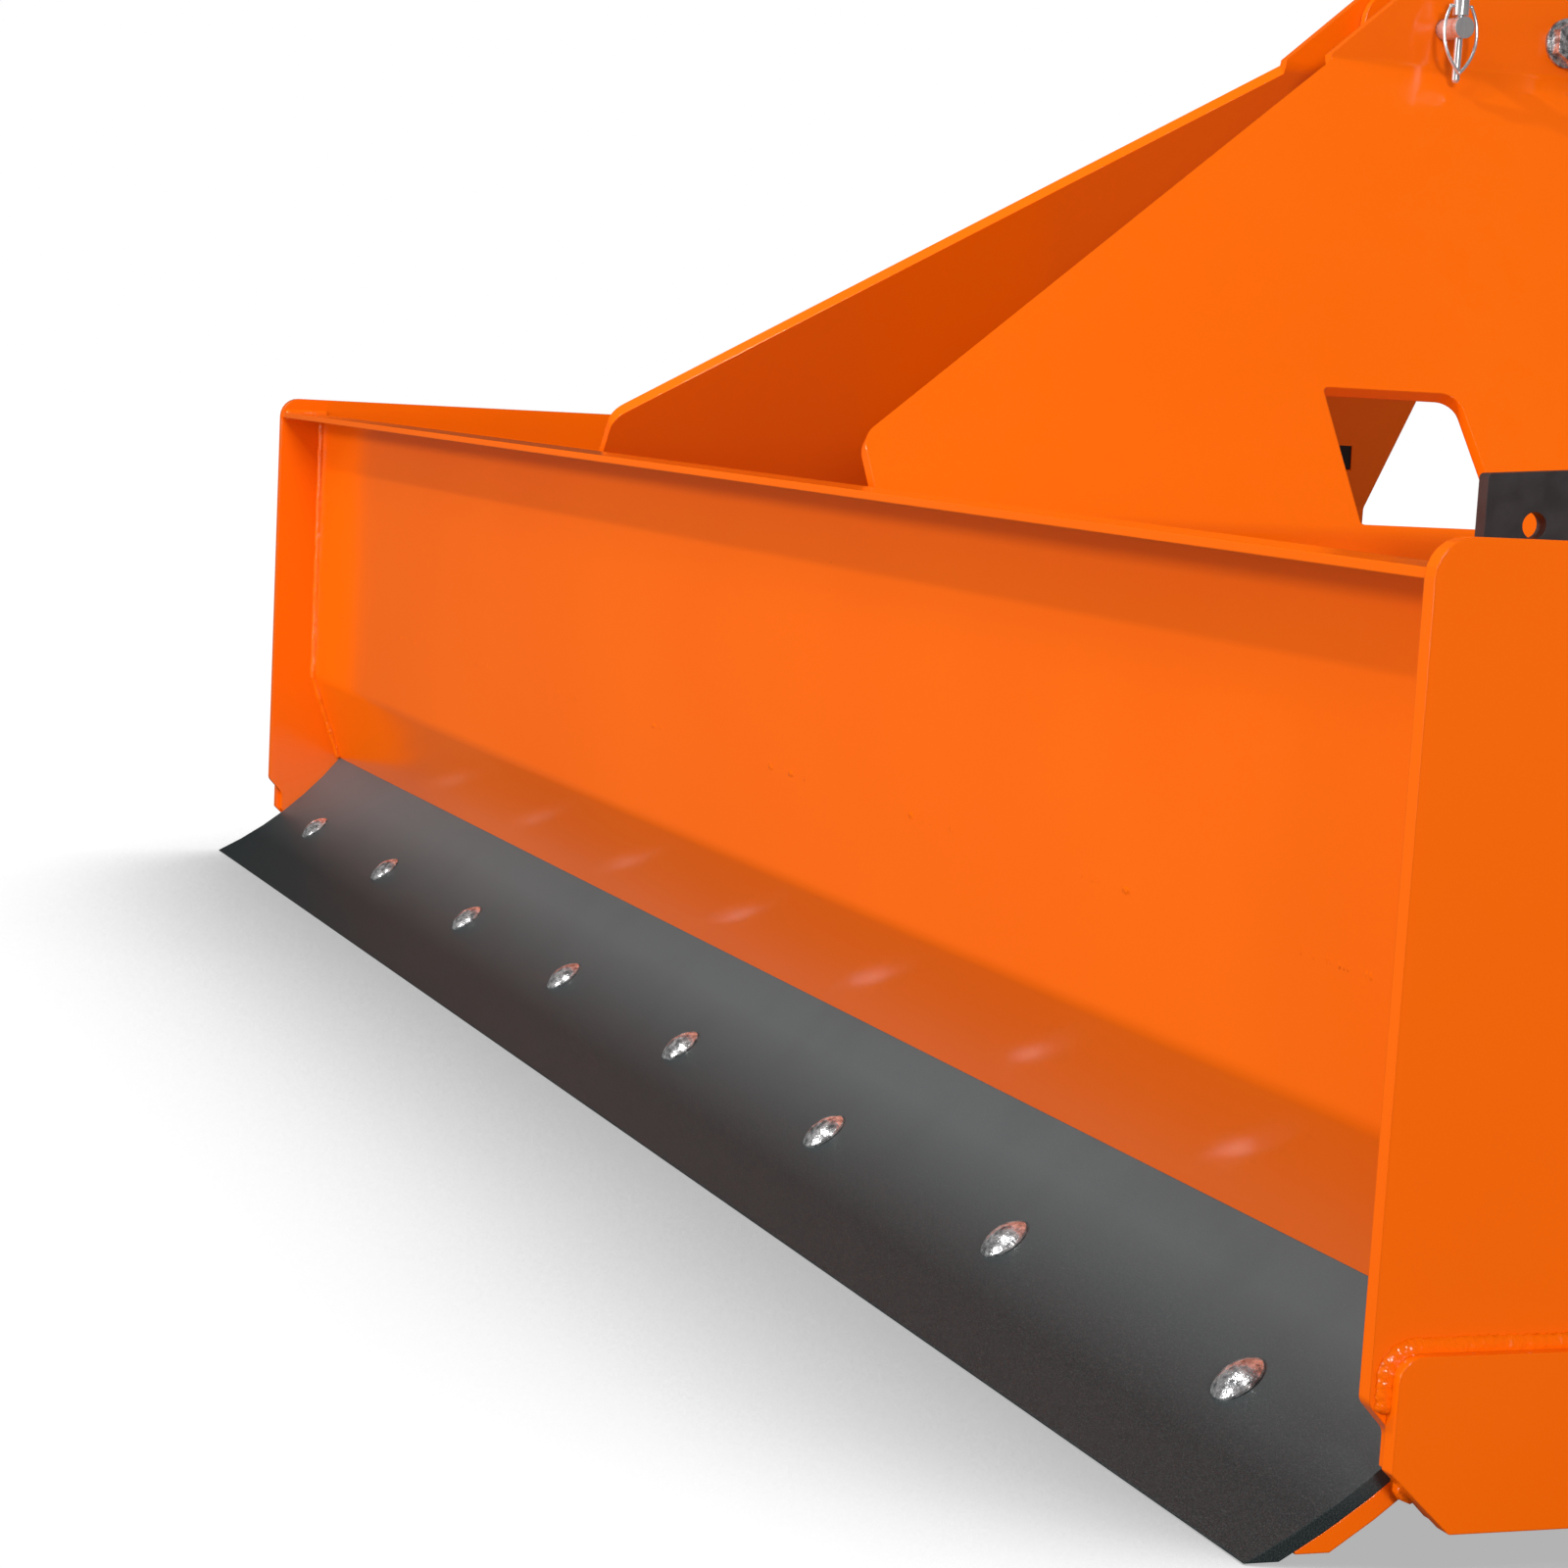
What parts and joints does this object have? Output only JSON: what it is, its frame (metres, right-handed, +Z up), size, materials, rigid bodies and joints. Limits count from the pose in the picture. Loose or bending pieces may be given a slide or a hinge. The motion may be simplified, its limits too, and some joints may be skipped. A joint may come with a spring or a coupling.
{
  "type": "box blade",
  "caption": "Tractor-mounted box blade: mouldboard between end plates, bolted hollow-ground cutting edge, ripper shanks and a three-point hitch mast.",
  "frame": {"origin": "on the ground, under the middle of the part's box", "axes": "+X along the blade, -Y out of the mouldboard's visible rear face, +Y towards the tractor, +Z up"},
  "size_m": [2.44, 0.899, 0.833],
  "materials": {
    "orange_powder_coat": "gloss powder coat",
    "edge_steel": "satin dark grey",
    "shank_steel": "satin dark grey",
    "black_plastic": "moulded plugs",
    "cast_tip": "as cast",
    "zinc_plate": "bright zinc"
  },
  "bodies": {
    "frame": {"mouldboard": "orange_powder_coat", "rear_edge_bed": "orange_powder_coat", "rear_cutting_edge": "edge_steel", "rear_edge_bolts": "zinc_plate", "rear_edge_nuts": "zinc_plate", "front_edge_bed": "orange_powder_coat", "front_cutting_edge": "edge_steel", "front_edge_bolts": "zinc_plate", "front_edge_nuts": "zinc_plate", "left_end_plate": "orange_powder_coat", "right_end_plate": "orange_powder_coat", "left_skid_shoe": "orange_powder_coat", "right_skid_shoe": "orange_powder_coat", "toolbar": "orange_powder_coat", "left_mast_plate": "orange_powder_coat", "right_mast_plate": "orange_powder_coat", "left_slot_plug": "black_plastic", "right_slot_plug": "black_plastic", "pivot_bolt": "zinc_plate", "pivot_nut": "zinc_plate", "pivot_washers": "zinc_plate", "left_lower_pin": "zinc_plate", "right_lower_pin": "zinc_plate", "left_lower_nut": "zinc_plate", "right_lower_nut": "zinc_plate"},
    "float_link": {"float_link": "orange_powder_coat", "top_link_pin": "zinc_plate", "top_linch_pin": "zinc_plate"},
    "top_linch_ring": {"top_linch_ring": "zinc_plate"},
    "lock_pin": {"lock_pin": "zinc_plate", "lock_linch_pin": "zinc_plate"},
    "lock_linch_ring": {"lock_linch_ring": "zinc_plate"},
    "shank_1": {"shank_1": "shank_steel", "tip_1": "cast_tip", "tip_bolt_1": "zinc_plate"},
    "shank_pin_1": {"shank_pin_1": "zinc_plate"},
    "shank_2": {"shank_2": "shank_steel", "tip_2": "cast_tip", "tip_bolt_2": "zinc_plate"},
    "shank_pin_2": {"shank_pin_2": "zinc_plate"},
    "shank_3": {"shank_3": "shank_steel", "tip_3": "cast_tip", "tip_bolt_3": "zinc_plate"},
    "shank_pin_3": {"shank_pin_3": "zinc_plate"},
    "shank_4": {"shank_4": "shank_steel", "tip_4": "cast_tip", "tip_bolt_4": "zinc_plate"},
    "shank_pin_4": {"shank_pin_4": "zinc_plate"},
    "shank_5": {"shank_5": "shank_steel", "tip_5": "cast_tip", "tip_bolt_5": "zinc_plate"},
    "shank_pin_5": {"shank_pin_5": "zinc_plate"}
  },
  "joints": [
    {"name": "float_link_swing", "type": "hinge", "parent": "frame", "child": "float_link", "pos_m": [0, 0.3175, 0.791], "axis": [1, 0, 0], "range_deg": [0, 10]},
    {"name": "top_ring_swing", "type": "hinge", "parent": "float_link", "child": "top_linch_ring", "pos_m": [0.044, 0.4155, 0.8051], "axis": [0, -1, 0], "range_deg": [0, 150]},
    {"name": "lock_pin_play", "type": "slide", "parent": "frame", "child": "lock_pin", "axis": [-1, 0, 0], "range_m": [0, 0.007]},
    {"name": "lock_ring_swing", "type": "hinge", "parent": "lock_pin", "child": "lock_linch_ring", "pos_m": [0.064, 0.2135, 0.8086], "axis": [0, -1, 0], "range_deg": [0, 150]},
    {"name": "shank_1_lift", "type": "slide", "parent": "frame", "child": "shank_1", "axis": [0, 0, 1], "range_m": [0, 0.075]},
    {"name": "shank_pin_1_pull", "type": "slide", "parent": "shank_1", "child": "shank_pin_1", "axis": [1, 0, 0], "range_m": [0, 0.06]},
    {"name": "shank_2_lift", "type": "slide", "parent": "frame", "child": "shank_2", "axis": [0, 0, 1], "range_m": [0, 0.075]},
    {"name": "shank_pin_2_pull", "type": "slide", "parent": "shank_2", "child": "shank_pin_2", "axis": [1, 0, 0], "range_m": [0, 0.06]},
    {"name": "shank_3_lift", "type": "slide", "parent": "frame", "child": "shank_3", "axis": [0, 0, 1], "range_m": [0, 0.075]},
    {"name": "shank_pin_3_pull", "type": "slide", "parent": "shank_3", "child": "shank_pin_3", "axis": [1, 0, 0], "range_m": [0, 0.06]},
    {"name": "shank_4_lift", "type": "slide", "parent": "frame", "child": "shank_4", "axis": [0, 0, 1], "range_m": [0, 0.075]},
    {"name": "shank_pin_4_pull", "type": "slide", "parent": "shank_4", "child": "shank_pin_4", "axis": [1, 0, 0], "range_m": [0, 0.06]},
    {"name": "shank_5_lift", "type": "slide", "parent": "frame", "child": "shank_5", "axis": [0, 0, 1], "range_m": [0, 0.075]},
    {"name": "shank_pin_5_pull", "type": "slide", "parent": "shank_5", "child": "shank_pin_5", "axis": [1, 0, 0], "range_m": [0, 0.06]}
  ]
}
